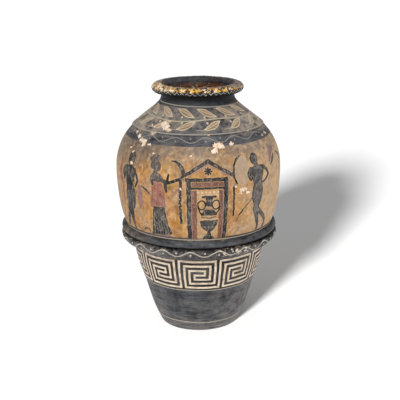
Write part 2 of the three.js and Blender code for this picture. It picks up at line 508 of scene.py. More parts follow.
# %% What hangs between them, and the flakes
def hangings(canvas):
    """What hangs or stands between the figures: sashes, a sickle, a shield, a spear and drapery."""
    canvas.stroke("black", [(-18.5, 465), (-15.5, 464), (-12.8, 459), (-11, 451), (-10.2, 442), (-9.8, 433)],
                  [1.5, 4, 7, 9, 8, 6])
    canvas.stroke("black", [(-11.8, 421), (-12.2, 370), (-12.0, 317)], [7, 6, 5])
    for bead in range(6):
        canvas.blob("cream", (-12.1 + 0.5 * (-1) ** bead, 356 + 7 * bead), 1.3, 1.8)
    canvas.blob("wash", (30.3, 437), 20.0, 33.0)
    canvas.ring("cream", (30.3, 437), 20.0, 33.0, 1.2)
    canvas.stroke("black", [(29.5, 472), (26.5, 464), (24.4, 452), (23.6, 438), (24.2, 424), (25.8, 408)],
                  [2, 5, 5, 5, 5, 3])
    canvas.stroke("black", [(23.6, 402), (23.9, 331)], [4.6, 3.6])
    canvas.stroke("black", [(38, 366), (34, 352), (30.5, 340)], [1.6, 2.5])
    canvas.stroke("black", [(31, 341), (28.3, 330)], [4, 3])
    canvas.stroke("red", [(28, 329), (26.5, 314)], [1.6, 1.2])
    canvas.panel("mauve", [(57.5, 440), (61, 452), (64, 462), (68, 471), (66, 476), (61, 478), (59, 468),
                           (58, 458), (56.5, 446)])
    canvas.stroke("black", [(58.5, 436), (61.0, 444), (65.0, 457)], [4, 8, 4])
    canvas.stroke("black", [(71.0, 460), (76.0, 445), (77.0, 428)], [3, 9, 4])
    canvas.stroke("red", [(-65, 448), (-65.6, 425), (-65, 400)], [6, 12, 8])
    canvas.stroke("red", [(-63, 402), (-62, 370), (-63, 335)], [5, 9, 4])
    canvas.stroke("black", [(-43.5, 283), (-41.5, 291), (-39, 291), (-37, 284)], [2, 3, 2])


def chips(canvas):
    """Flakes of plaster, mostly along the ledge and over the picture band."""
    flakes = [
        (15.0, 497, 14, 6), (12.0, 486, 9, 5), (18.5, 494, 5, 4), (26.0, 498, 6, 4), (-48.0, 499, 15, 4),
        (-55.0, 506, 8, 4), (-45.0, 492, 6, 5), (-39.5, 494, 6, 2), (-42.0, 517, 7, 3), (-39.0, 519, 5, 2),
        (-58.5, 478, 4, 2), (-53.5, 472, 4, 3), (-52.0, 446, 5, 4), (-33.5, 477, 3, 2), (-5.3, 477, 3, 2.5),
        (-11.8, 402, 3, 2.5), (25.0, 402, 3, 2.5), (31.0, 393, 11, 5), (34.5, 384, 7, 4),
        (28.5, 385, 5, 3), (-35.0, 537, 12, 6),
        (-31.0, 532, 12, 6), (-27.0, 527, 9, 3), (-39.0, 530, 5, 2.5), (-44.0, 529, 4, 2), (-48.0, 532, 4, 2),
        (62.5, 501, 5, 2), (47.0, 518, 5, 2), (9.0, 520, 4, 1.5), (-62.0, 512, 6, 3), (70.0, 503, 6, 3),
        (104.0, 499, 10, 4), (133.0, 515, 7, 3), (158.0, 488, 8, 5), (-170.0, 517, 6, 3),
        (-141.0, 501, 12, 5),
        (-128.0, 493, 6, 3), (-96.0, 508, 8, 3), (-84.0, 488, 5, 3), (172.0, 380, 5, 4), (-118.0, 345, 5, 3),
        (96.0, 532, 7, 4), (148.0, 541, 6, 3), (-112.0, 535, 8, 4),
    ]
    for turn, height, half_width, half_height in flakes:
        canvas.face(turn)
        canvas.chip((0.0, height), half_width, half_height)
    canvas.face(0.0)


print("described: hangings, flakes")

# %% The whole picture band
def paint(turn, height):
    """The whole picture band and its damage, seen from every given point."""
    canvas = Canvas(turn, height)
    shrine(canvas)
    amphora(canvas)
    woman(canvas)
    cloaked_man(canvas)
    spear_man(canvas)
    hangings(canvas)
    for figure, middle in ((spear_man, 63), (woman, 190), (cloaked_man, -72)):
        canvas.face(middle)
        figure(canvas)
    canvas.face(0.0)
    chips(canvas)
    return {colour: np.clip(distance, -FAR, FAR) for colour, distance in canvas.distance.items()}


front = paint(np.array([0.0]), np.array([360.0]))
print("nearest paint at the front:", min(front, key=lambda colour: front[colour][0]))

# %% [markdown]
# ## A finer skin under the painting
# Painted edges need closely spaced points, and plain clay doesn't. So the faces that lie near a
# painted edge or a chip are picked and subdivided, and the new points are seated on the outline's
# curve again, so that the jar stays round.

# %% Pick and split the faces near painted edges
PAINTED_LOW, PAINTED_HIGH = 266.0, 560.0
NEAR_EDGE = 3.4       # faces with their middle this close to a painted edge are split
SKIN = 5.0            # what lies deeper than this under the outline belongs to the inside
CUTS = 3


def measure(points):
    """Turn in degrees from the front, height and radius in millimetres."""
    points = points / MM
    turn = np.degrees(np.arctan2(points[:, 0], -points[:, 1]))
    return turn, points[:, 2], np.hypot(points[:, 0], points[:, 1])


def outer_radius(height):
    """The radius of the outer skin of the belly and shoulder at a height."""
    skin = np.vstack([belly, shoulder])
    return np.interp(height, skin[:, 1], skin[:, 0])


centres = np.empty(len(jar.data.polygons) * 3)
jar.data.polygons.foreach_get("center", centres)
turn, height, radius = measure(centres.reshape(-1, 3))
layers = paint(turn, height)
near = np.zeros(len(turn), bool)
for distance in layers.values():
    near |= np.abs(distance) < NEAR_EDGE
on_band = (height > PAINTED_LOW) & (height < PAINTED_HIGH) & (radius > outer_radius(height) - SKIN)
picked = near & on_band
deselect_all()
bpy.context.view_layer.objects.active = jar
jar.select_set(True)
bpy.ops.object.mode_set(mode="EDIT")
bpy.ops.mesh.select_mode(type="FACE")
bpy.ops.mesh.select_all(action="DESELECT")
bpy.ops.object.mode_set(mode="OBJECT")
jar.data.polygons.foreach_set("select", picked)
bpy.ops.object.mode_set(mode="EDIT")
bpy.ops.mesh.subdivide(number_cuts=CUTS, smoothness=0.0)
bpy.ops.mesh.select_mode(type="VERT")
bpy.ops.object.mode_set(mode="OBJECT")
print("split", int(picked.sum()), "of", len(picked), "faces")

# %% Seat the new points on the outline's curve
count = len(jar.data.vertices)
points = np.empty(count * 3)
jar.data.vertices.foreach_get("co", points)
points = points.reshape(-1, 3)
turn, height, radius = measure(points)
outer = (radius > outer_radius(height) - SKIN) & (height > BELLY_FOOT[1] + 0.1) & (height < NECK[1] - 1.0)
ledge = (height > LEDGE_HEIGHT - LEDGE_STEP - 0.2) & (height < LEDGE_HEIGHT + 0.2)
seated = outer & ~ledge
stretch = np.where(seated, outer_radius(height) / np.maximum(radius, 1.0), 1.0)
points[:, :2] *= stretch[:, None]
triangles = sum(len(face.vertices) - 2 for face in jar.data.polygons)
print("seated", int(seated.sum()), "points, the jar now has", triangles, "triangles")

# %% [markdown]
# ## Hand-made surface
# The wheel leaves shallow rings, the moulding's edge wavers, and the lip carries an uneven crust.
# Chips are sunk by a millimetre. Every change is inwards, so the jar keeps within its true size.

# %% Name the parts of the surface
turn, height, radius = measure(points)
layers = paint(turn, height)
outside_skin = radius > outer_radius(height) - SKIN
outside_skin |= height < BELLY_FOOT[1]
on_lip = height > NECK[1]
inner = (~outside_skin) & (height > 5.0) & (height < LIP_MIDDLE)
print("points outside:", int(outside_skin.sum()), "inside:", int(inner.sum()), "lip:", int(on_lip.sum()))

# %% Lumps, wheel rings and sunken chips, in millimetres
LUMP, GRAIN = 0.022, 0.16                    # waves in a millimetre
RING_DEPTH, LUMP_DEPTH, CHIP_DEPTH = 0.10, 0.35, 1.0
FLANGE_REACH = 9.0                           # how far the flange's wavering reaches up and down

lumps = np.array([noise.noise(Vector(place * LUMP)) for place in points / MM])
grain = np.array([noise.noise(Vector(place * GRAIN)) for place in points / MM])
rings = 0.5 + 0.5 * np.sin(height * 0.42 + 1.2 * np.sin(height * 0.11))
sink = RING_DEPTH * rings + LUMP_DEPTH * np.clip(0.5 + lumps, 0.0, 1.0)
sink += CHIP_DEPTH * np.clip(0.6 - 0.6 * layers["plaster"], 0.0, 1.0)
flange = np.exp(-((height - FLANGE_LIP[1]) / FLANGE_REACH) ** 2)
sink += flange * (0.5 + 0.5 * np.sin(turn * 0.13 + 1.0) + 0.7 * np.clip(grain, -0.5, 0.5))
crust = np.where(on_lip, 1.1 * np.clip(0.5 + grain, 0.0, 1.0) + 0.5 * np.clip(0.5 + lumps, 0.0, 1.0), 0.0)
print("deepest sink:", round(sink.max(), 2), "mm, deepest in the lip:", round(crust.max(), 2), "mm")

# %% Move the points inwards
lip_middle = np.column_stack([
    np.sin(np.radians(turn)) * LIP_RADIUS, -np.cos(np.radians(turn)) * LIP_RADIUS,
    np.full(count, LIP_MIDDLE)])
to_middle = lip_middle - points / MM
to_middle /= np.maximum(np.linalg.norm(to_middle, axis=1), 1.0)[:, None]
to_axis = -points / MM * np.array([1.0, 1.0, 0.0])
to_axis /= np.maximum(np.linalg.norm(to_axis, axis=1), 1.0)[:, None]
foot_fade = np.clip((height - 1.0) / 6.0, 0.0, 1.0)
body_sink = np.where(outside_skin & ~on_lip, sink, 0.0) * foot_fade
points += (to_axis * body_sink[:, None] + to_middle * crust[:, None]) * MM
jar.data.vertices.foreach_set("co", points.ravel())
jar.data.update()
print("moved", int((body_sink + crust > 0.0).sum()), "points")

# %% [markdown]
# ## Paint distances on the mesh
# The material can't work out the figures by itself, so each colour's distance is stored on the
# points. Between the points it is evenly blended, so a painted edge stays a smooth line however
# the faces lie. One more layer marks the bare clay of the inside.

# %% Store the distances
for colour, distance in layers.items():
    attribute = jar.data.attributes.new(colour, "FLOAT", "POINT")
    attribute.data.foreach_set("value", distance.astype(np.float32))
attribute = jar.data.attributes.new("inside", "FLOAT", "POINT")
attribute.data.foreach_set("value", inner.astype(np.float32))
print("paint layers:", ", ".join(layers), "and inside")

# %% [markdown]
# ## The painted surface
# The real surface is hand-painted, unglazed terracotta: a thin clay slip and matt earth colours,
# brushed on and since rubbed, chipped and dusted over. So it scatters light and hardly shines. An
# image could hold all this, but a procedural material stays sharp and fits every side. It knows a
# point by its place in millimetres, lays the bands by height and turn, and takes the figures from
# the distances stored above. Each coat of paint is mixed over the one below it by a mask.

# %% Start the material
material = bpy.data.materials.new("painted_terracotta")
material.use_nodes = True
tree = material.node_tree
tree.nodes.clear()


def node(kind, inputs=(), out=0, **settings):
    """Adds a shader node. Inputs are values or other nodes' outputs, by order or by name."""
    made = tree.nodes.new("ShaderNode" + kind)
    for name, value in settings.items():
        setattr(made, name, value)
    pairs = inputs.items() if isinstance(inputs, dict) else enumerate(inputs)
    for key, value in pairs:
        if isinstance(value, bpy.types.NodeSocket):
            tree.links.new(value, made.inputs[key])
        else:
            made.inputs[key].default_value = value
    return made.outputs[out]


def chain(start, *steps):
    """A row of sums on one value, such as ("ADD", 2.0)."""
    for operation, *values in steps:
        start = node("Math", (start, *values), operation=operation)
    return start


print("new material:", material.name)

# %% [markdown]
# A mask says how much of a paint lies on each point, from 0 to 1. Most masks are products: this
# paint, but only up here, and only where the grain is coarse. One function multiplies such terms,
# and one lays coats of paint, so that each finish below reads as a list of colours.

# %% Masks and coats
def mask(*terms):
    """Multiplies its terms. A term is a number, a value, or (value, low, high), which goes from
    0 to 1 as the value goes from low to high."""
    product = None
    for term in terms:
        if isinstance(term, tuple):
            value, low, high = term
            term = node("MapRange", (value, low, high, 0.0, 1.0))
        product = term if product is None else chain(product, ("MULTIPLY", term))
    return product


def between(value, low, high, softness=0.5):
    """1 where a value lies between two limits, with a soft step at each."""
    middle, half = (low + high) / 2.0, (high - low) / 2.0
    off_middle = chain(value, ("SUBTRACT", middle), ("ABSOLUTE",))
    return mask((off_middle, half + softness, half - softness))


def coat(colour, *layers):
    """Lays coats over a colour, one after the other. Each has its own colour and its mask."""
    for paint_colour, amount in layers:
        pair = [srgb(one) if isinstance(one, str) else one for one in (colour, paint_colour)]
        colour = node("MixRGB", (amount, *pair))
    return colour


print("masks and coats are ready")

# %% [markdown]
# ## Places and grain
# Object coordinates turned to millimetres give the height, and the turn round the axis in degrees
# from the front. A painter's hand wavers, so there is a second height and turn, which wander by a
# few millimetres. The grain comes in the sizes that the clay and the rubbing show: 2 mm grit,
# 14 mm blotches, 70 mm clouds, and level streaks left by the wheel.

# %% Place on the jar
place = node("VectorMath", (node("TexCoord", out="Object"), (1.0 / MM, 1.0 / MM, 1.0 / MM)),
             operation="MULTIPLY")
x_place, y_place, z_place = [node("SeparateXYZ", (place,), out=axis) for axis in "XYZ"]
TO_DEGREES = 180.0 / math.pi


def speckle(size, detail=3.0, stretch=(1.0, 1.0, 1.0), offset=0.0):
    """Uneven grey with grains about a size in millimetres, from 0 to 1 about a half."""
    vector = node("VectorMath", (place, stretch), operation="MULTIPLY")
    vector = node("VectorMath", (vector, (offset, offset, offset)), operation="ADD")
    return node("TexNoise", {"Vector": vector, "Scale": 1.0 / size, "Detail": detail, "Roughness": 0.6})


slow_wave = chain(speckle(60.0, 2.0), ("SUBTRACT", 0.5))
quick_wave = chain(speckle(9.0, 2.0, offset=40.0), ("SUBTRACT", 0.5))
z_hand = chain(slow_wave, ("MULTIPLY", 4.0), ("ADD", chain(quick_wave, ("MULTIPLY", 1.6))),
               ("ADD", z_place))
turn_true = chain(x_place, ("ARCTAN2", chain(y_place, ("MULTIPLY", -1.0))), ("MULTIPLY", TO_DEGREES))
turn_hand = chain(speckle(30.0, 2.0, offset=90.0), ("SUBTRACT", 0.5), ("MULTIPLY", 1.024),
                  ("ADD", turn_true))
radius_flat = chain(x_place, ("MULTIPLY", x_place), ("ADD", chain(y_place, ("MULTIPLY", y_place))),
                    ("SQRT",))
side = chain(x_place, ("DIVIDE", radius_flat))      # -1 at the jar's left, 1 at its right
print("places:", len(tree.nodes), "nodes")

# %% Grain
fine = speckle(2.2, 4.0)
medium = speckle(14.0, 4.0, offset=17.0)
broad = speckle(70.0, 4.0, offset=70.0)
streaks = speckle(9.0, 4.0, stretch=(0.22, 0.22, 2.2), offset=25.0)
worn = chain(medium, ("ADD", streaks), ("ADD", broad), ("MULTIPLY", 1.0 / 3.0))
print("grain sizes in mm: 2.2, 9, 14, 70")

# %% [markdown]
# ## Slip, and the ochre of the picture band
# The potter dipped the jar in a black slip, which has worn to charcoal grey. The groove and the
# neck under the lip are painted near black, as painted shade. The picture band was then filled with
# ochre. Ochre laid by hand is never even: it is warm and dark where it lies thick, paler towards the
# right, stained grey and brown near the shoulder, and darker brown towards the top left.

# %% Slip and ochre
slip_and_painted_shade = coat(
    "#1c1d21",
    ("#585a5f", mask((worn, 0.40, 0.60))),
    ("#7f7b78", mask((fine, 0.56, 0.74), 0.35)),
    # Painted shade: the neck under the lip is painted near black.
    ("#0b0a0d", mask((z_place, 571.0, 592.0), 0.97)),
    # Painted shade: the groove of the moulding is painted darker.
    ("#131316", mask(between(z_place, 244.0, 254.0, 3.0), 0.8)))

strokes = speckle(12.0, 4.0, stretch=(0.8, 0.8, 0.45), offset=27.0)
olive_patches = speckle(30.0, 4.0, stretch=(1.0, 1.0, 0.6), offset=520.0)
mottle = speckle(9.0, 5.0, stretch=(1.0, 1.0, 0.7), offset=350.0)
stained_height = chain(slow_wave, ("MULTIPLY", 60.0), ("ADD", z_hand))
ochre = coat(
    "#b57c38",
    ("#ca9258", mask((broad, 0.40, 0.60))),
    ("#9a6738", mask((medium, 0.46, 0.64), 0.65)),
    ("#cda27a", mask((strokes, 0.50, 0.66), 0.4)),
    ("#8b7136", mask((olive_patches, 0.52, 0.64), 0.35)),
    ("#9a8671", mask((z_hand, 436.0, 492.0), 0.78)),
    ("#a98f76", mask((speckle(40.0, 5.0, offset=280.0), 0.50, 0.62), 0.5)),
    ("#6f5138", mask((speckle(26.0, 6.0, offset=55.0), 0.52, 0.66), 0.7)),
    ("#d3b38b", mask((speckle(18.0, 6.0, offset=205.0), 0.56, 0.66), 0.6)),
    ("#4d3d30", mask((fine, 0.58, 0.74), 0.25)),
    ("#c89a4f", mask((speckle(48.0, 4.0, offset=260.0), 0.50, 0.62), 0.5)),
    ("#e6c6a2", mask((side, 0.31, 0.83), 0.5)),
    ("#5d4735", mask((z_hand, 428.0, 484.0), (side, -0.30, -0.66), 0.85)),
    ("#7b6c5f", mask((stained_height, 446.0, 488.0), (medium, 0.32, 0.56), 0.8)),
    ("#a3927b", mask((side, -0.84, -0.98), 0.45)),
    ("#4a3826", mask((mottle, 0.50, 0.68), 0.28)),
    ("#e8cfa8", mask((mottle, 0.46, 0.32), 0.38)))
picture = mask((z_hand, 276.6, 277.4), (z_hand, 496.3, 494.7))
colour = coat(slip_and_painted_shade, (ochre, picture))
print("slip and ochre:", len(tree.nodes), "nodes")

# %% [markdown]
# ## The figures
# The painter blocked in each figure and then scratched folds and limbs into it. The stored
# distance gives the block, and a little noise makes its edge ragged, as dry paint on rough clay.
# The black is deepest at the outline and thinner within, and the right-hand figure has faded most.

# %% Tools for the figures
ragged = chain(speckle(3.0, 3.0, offset=11.0), ("SUBTRACT", 0.5), ("MULTIPLY", 1.2))
rubbed = mask((speckle(5.0, 4.0, stretch=(1.0, 1.0, 0.5), offset=33.0), 0.62, 0.74))
thin = chain(rubbed, ("MULTIPLY", -0.75), ("ADD", 1.0))      # how much paint the rubbing has left


def painted(name, extra=0.0):
    """Where one of the stored colours is painted. An extra distance trims it all round."""
    distance = node("Attribute", out="Fac", attribute_name=name)
    distance = chain(distance, ("ADD", ragged), ("ADD", extra))
    return mask((distance, 0.45, -0.45))


def folds(size, stretch, offset, width):
    """Thin wandering lines, such as a painter scratches for folds and limbs."""
    wander = chain(speckle(size, 2.0, stretch=stretch, offset=offset), ("SUBTRACT", 0.5), ("ABSOLUTE",))
    return mask((wander, width + 0.01, width - 0.01))


black_depth = chain(node("Attribute", out="Fac", attribute_name="black"), ("MULTIPLY", -1.0))
print("figure tools:", len(tree.nodes), "nodes")

# %% The dark paint, and the other colours
on_right = mask((side, 0.47, 0.67))
long_grain = speckle(12.0, 3.0, stretch=(1.0, 1.0, 0.4), offset=530.0)
faded_grain = speckle(10.0, 4.0, stretch=(1.0, 1.0, 0.6), offset=560.0)
faded = coat("#4c4a4a", ("#968d87", mask((faded_grain, 0.44, 0.60))))
figure_body = coat(
    "#211f20",
    ("#57524e", mask((long_grain, 0.40, 0.62))),
    (faded, mask(on_right, 0.85)))
dark_figure = coat(
    "#0f0c0c",
    ("#2c2827", mask((worn, 0.46, 0.64))),
    ("#4d4747", mask(on_right, 0.3)),
    (figure_body, mask((black_depth, 0.9, 3.2), 0.60)),
    ("#7c6d61", mask(between(turn_true, -37.0, -22.0, 2.0), (z_place, 400.0, 432.0), 0.5)),
    ("#a39a90", mask(folds(15.0, (1.0, 1.0, 0.35), 410.0, 0.016), (black_depth, 0.6, 2.0), 0.6)))
red_paint = coat(
    "#804a3f",
    ("#a5705f", mask((medium, 0.38, 0.62))),
    ("#6f463a", mask(between(turn_true, -6.0, 19.0), 0.75)),
    ("#d0ab97", mask(folds(7.0, (1.0, 1.0, 0.16), 430.0, 0.014), 0.5)))
mauve_paint = coat("#7c5c5c", ("#957a7c", mask((medium, 0.4, 0.6))))
light_paint = coat("#dcc6a3", ("#a79c8c", mask((black_depth, 1.0, 3.0))))
wash = coat("#cfae84", ("#b3a18c", mask((turn_true, 14.0, 24.0))))
wash_depth = node("MapRange", (turn_true, 14.0, 24.0, 0.35, 0.6))
print("figure paints:", len(tree.nodes), "nodes")

# %% Lay the figures on the ochre
colour = coat(
    colour,
    (wash, mask(painted("wash"), wash_depth)),
    (mauve_paint, mask(painted("mauve"), thin, 0.85)),
    ("#3a2c26", mask(painted("red", -0.6), 0.7)),
    (red_paint, mask(painted("red", 0.3), thin)),
    ("#cdb38f", mask(painted("black", -1.5), 0.35)),
    (dark_figure, mask(painted("black", -0.35), chain(thin, ("MAXIMUM", 0.6)))),
    (light_paint, mask(painted("cream", 0.1), thin, picture)),
    ("#0d0b0a", mask((mottle, 0.54, 0.66), picture, 0.15)))
print("figures:", len(tree.nodes), "nodes")

# %% [markdown]
# ## The Greek key
# A cream line turns inwards and out again on a dark ground, ten times round the jar. The line runs
# on a square grid, so a repeat is written as the corners that it passes. Each leg gives a square
# distance, and the least of them is the distance to the line.

# %% The Greek key around the lower body
KEY_PATH = [(0, 0), (0, 6), (7, 6), (7, 1), (2, 1), (2, 4), (5, 4), (5, 3), (3, 3), (3, 2), (6, 2),
            (6, 5), (1, 5), (1, 0), (8, 0), (8, 6)]
KEY_LOW, KEY_STEP, KEY_TURN = 134.5, 12.33, 4.5      # lowest line and grid step in mm, step in degrees
KEY_START = 17.6                                     # how far a repeat begins left of the front

cell_along = chain(turn_hand, ("ADD", 360.0 + KEY_START), ("MODULO", 8 * KEY_TURN),
                   ("MULTIPLY", KEY_STEP / KEY_TURN))
cell_up = chain(z_hand, ("SUBTRACT", KEY_LOW))
legs = []
for corner, next_corner in zip(KEY_PATH, KEY_PATH[1:]):
    reach = []
    for value, start, end in zip((cell_along, cell_up), corner, next_corner):
        middle, half = (start + end) / 2.0 * KEY_STEP, abs(end - start) / 2.0 * KEY_STEP
        reach.append(chain(value, ("SUBTRACT", middle), ("ABSOLUTE",), ("SUBTRACT", half)))
    legs.append(chain(reach[0], ("MAXIMUM", reach[1])))
key_distance = chain(legs[0], *[("MINIMUM", leg) for leg in legs[1:]])
key_distance = chain(ragged, ("MULTIPLY", 0.6), ("ADD", key_distance))
key_line = mask((key_distance, 3.05, 2.15))

key_ground = coat("#191513", ("#3d342d", mask((worn, 0.42, 0.62))))
cream_paint = coat(
    "#efdbc3",
    ("#bfab92", mask((medium, 0.46, 0.68))),
    ("#6f6458", mask((fine, 0.58, 0.72), 0.7)))
colour = coat(
    colour,
    (key_ground, mask(between(z_hand, 128.0, 214.0, 1.0), 0.85)),
    (cream_paint, mask(key_line, thin)))
print("Greek key:", len(legs), "legs,", len(tree.nodes), "nodes")

# %% [markdown]
# ## Brushed lines, waves and dots
# Thin light lines close each band. They were drawn with the brush held still and the jar turning,
# so they are nearly level. The one at the neck slopes a little. Two wavy lines with dots, on the
# flange and under the shoulder, are cosines of the turn.

# %% Level lines
neck_level = chain(side, ("MULTIPLY", 3.2), ("ADD", z_place))
lines = [      # height to read, its middle and half width in mm, colour, strength
    (z_hand, 26.4, 1.5, "#bdb2a3", 0.95),
    (z_hand, 126.0, 1.1, "#b5a997", 0.95),
    (z_place, 271.4, 1.2, "#dccbb0", 0.95),
    (z_place, 520.4, 0.75, "#c9c1b5", 0.65),
    (neck_level, 574.0, 0.9, "#b9b0a2", 0.85),
]
for level, middle, half, paint_colour, strength in lines:
    line = between(level, middle - half, middle + half, 0.6)
    colour = coat(colour, (paint_colour, mask(line, strength, thin)))
print("level lines:", len(lines))


# %% Waves and dots
def wave(pitch, crest, middle, size, half_width):
    """A wavy line round the jar, its crests a pitch apart in degrees."""
    level = chain(turn_hand, ("SUBTRACT", crest), ("MULTIPLY", math.tau / pitch), ("COSINE",),
                  ("MULTIPLY", size), ("ADD", middle))
    gap = chain(z_hand, ("SUBTRACT", level), ("ABSOLUTE",))
    return mask((gap, half_width + 0.5, half_width - 0.5))


def dots(pitch, first, height, radius, reach):
    """Round dots a pitch apart in degrees. The reach is how many millimetres a degree takes up."""
    along = chain(turn_true, ("SUBTRACT", first - 360.0 - pitch / 2), ("MODULO", pitch),
                  ("SUBTRACT", pitch / 2), ("MULTIPLY", reach))
    up = chain(z_place, ("SUBTRACT", height))
    distance = chain(along, ("MULTIPLY", along), ("ADD", chain(up, ("MULTIPLY", up))), ("SQRT",),
                     ("ADD", chain(ragged, ("MULTIPLY", 0.5))))
    return mask((distance, radius + 0.5, radius - 0.5))


vine = chain(wave(20.0, -6.0, 237.8, 7.0, 1.25),
             ("MAXIMUM", dots(20.0, -6.0, 235.8, 2.3, 3.4)),
             ("MAXIMUM", dots(20.0, 4.0, 240.6, 2.3, 3.4)))
band_wave = chain(wave(24.0, -18.0, 508.5, 5.0, 0.8),
                  ("MAXIMUM", dots(24.0, -18.0, 505.5, 1.8, 3.2)),
                  ("MAXIMUM", dots(24.0, -6.0, 511.5, 1.8, 3.2)))
# How much painted shade lies on the flange, little on the left and most on the right.
flange_painted_shade = node("MapRange", (side, -0.5, 0.0, 0.1, 0.6))
flaking = mask(between(turn_hand, 15.0, 40.0, 4.0), between(z_hand, 228.0, 249.0, 3.0),
               (speckle(11.0, 3.0, offset=310.0), 0.545, 0.575), 0.95)
colour = coat(
    colour,
    # Painted shade: the flange, under and over its edge, is darkened near black.
    ("#161315", mask(between(z_place, 213.0, 249.0, 1.0), flange_painted_shade)),
    ("#d3c9ba", mask(vine, between(z_place, 224.0, 249.0), thin, 0.95)),
    ("#efdcc3", flaking),
    ("#a09a94", mask(band_wave, between(z_place, 499.0, 517.0), thin, 0.7)))
print("waves and dots:", len(tree.nodes), "nodes")

# %% [markdown]
# ## The laurel
# A branch with leaves above and below it runs round the shoulder, with small berries between. A
# leaf is a sine bump on each side of a slanting spine, light at its rim and rib and darker in its
# lower half. A random number for each leaf varies its colour and its place.

# %% The laurel on the shoulder
LEAF_PITCH = 360.0 / 14.0


def leaves(colour, first, length, start, climb, half_width):
    """Fourteen leaves around the shoulder, each from its base to a tip further to the left."""
    back = chain(turn_hand, ("MULTIPLY", -1.0), ("ADD", first + 720.0))
    which = chain(back, ("DIVIDE", LEAF_PITCH), ("FLOOR",))
    chance = node("TexWhiteNoise", {"W": which}, noise_dimensions="1D")
    along = chain(back, ("MODULO", LEAF_PITCH), ("DIVIDE", length), ("MINIMUM", 1.0))
    spine = chain(along, ("POWER", 0.85), ("MULTIPLY", climb), ("ADD", start),
                  ("ADD", chain(chance, ("MULTIPLY", 1.6))))
    plump = chain(along, ("MULTIPLY", math.pi), ("SINE",), ("MAXIMUM", 0.0), ("MULTIPLY", half_width))
    above_spine = chain(z_hand, ("SUBTRACT", spine))
    off_spine = chain(above_spine, ("ABSOLUTE",))
    distance = chain(off_spine, ("SUBTRACT", plump), ("ADD", 0.5))
    rim = mask((chain(distance, ("ABSOLUTE",)), 1.2, 0.4))
    rib = mask((off_spine, 0.9, 0.1), (along, 0.99, 0.95))
    leaf_colour = coat(
        "#a07f5b",
        ("#cdb090", mask((chain(chance, ("ADD", medium)), 0.7, 1.2))),
        ("#6d5238", mask((above_spine, 0.2, -0.6), 0.55)))
    return coat(
        colour,
        (leaf_colour, mask((distance, 0.4, -0.4), thin, 0.9)),
        ("#dccaab", mask(chain(rim, ("MAXIMUM", rib)), thin, 0.9)))


shoulder_grain = speckle(16.0, 5.0, offset=222.0)
leafy = coat(colour, ("#9c9082", mask((shoulder_grain, 0.40, 0.60), 0.38)))
leafy = leaves(leafy, -3.5, 23.5, 551.0, 18.0, 6.3)
leafy = leaves(leafy, -2.0, 18.5, 544.5, -16.0, 6.0)
stem_level = chain(turn_true, ("MULTIPLY", 0.07), ("SINE",), ("MULTIPLY", 2.0), ("ADD", 546.8))
stem_gap = chain(z_hand, ("SUBTRACT", stem_level), ("ABSOLUTE",))
berries = chain(dots(LEAF_PITCH, 7.5, 552.5, 2.4, 2.2), ("MAXIMUM", dots(LEAF_PITCH, 9.5, 541.5, 2.4, 2.2)))
leafy = coat(
    leafy,
    ("#c3b496", mask((stem_gap, 1.4, 0.4), thin)),
    ("#c9b695", mask(berries, thin)))
colour = coat(colour, (leafy, between(z_place, 522.5, 571.0)))
print("laurel:", len(tree.nodes), "nodes")

# %% [markdown]
# ## The crusted lip
# The lip's front was gilded over white ground and painted with a zigzag below. Most of it has
# broken up into gold, cream and dark crumbs. A second turn, round the lip's own section, tells the
# outer side (0), the top (90) and the mouth (180). The back of the lip is plain worn slip, but for
# one crusted patch.

# %% Paints of the lip
lip_out = chain(radius_flat, ("SUBTRACT", LIP_RADIUS), ("DIVIDE", LIP_HALF_WIDTH))
lip_turn = chain(z_place, ("SUBTRACT", LIP_MIDDLE), ("DIVIDE", LIP_HALF_HEIGHT), ("ARCTAN2", lip_out),
                 ("MULTIPLY", TO_DEGREES), ("ADD", chain(quick_wave, ("MULTIPLY", 26.0))))
crumbs = speckle(4.2, 4.0, offset=5.0)
patches = speckle(11.0, 3.0, offset=61.0)
gold = coat(
    "#a36a18",
    ("#e9b954", mask((speckle(8.0, 4.0, offset=15.0), 0.44, 0.56))),
    ("#f8e9cb", mask((speckle(10.0, 5.0, offset=81.0), 0.53, 0.57), 0.95)),
    ("#1d1518", mask((speckle(8.0, 5.0, offset=99.0), 0.515, 0.55), 0.95)))
left_gold = coat(
    "#b98345",
    ("#f4e4c6", mask((speckle(8.0, 4.0, offset=35.0), 0.46, 0.52))),
    ("#2b2224", mask((speckle(7.0, 4.0, offset=540.0), 0.53, 0.57))))
right_crust = coat("#51454d", ("#b3a093", mask((crumbs, 0.46, 0.60))))
dull = coat(
    "#2f272c",
    ("#7b6a66", mask((patches, 0.42, 0.58))),
    ("#cfa463", mask((crumbs, 0.56, 0.62), 0.8)),
    ("#e6d9c8", mask((speckle(8.0, 4.0, offset=181.0), 0.58, 0.62), 0.8)))
print("lip paints:", len(tree.nodes), "nodes")

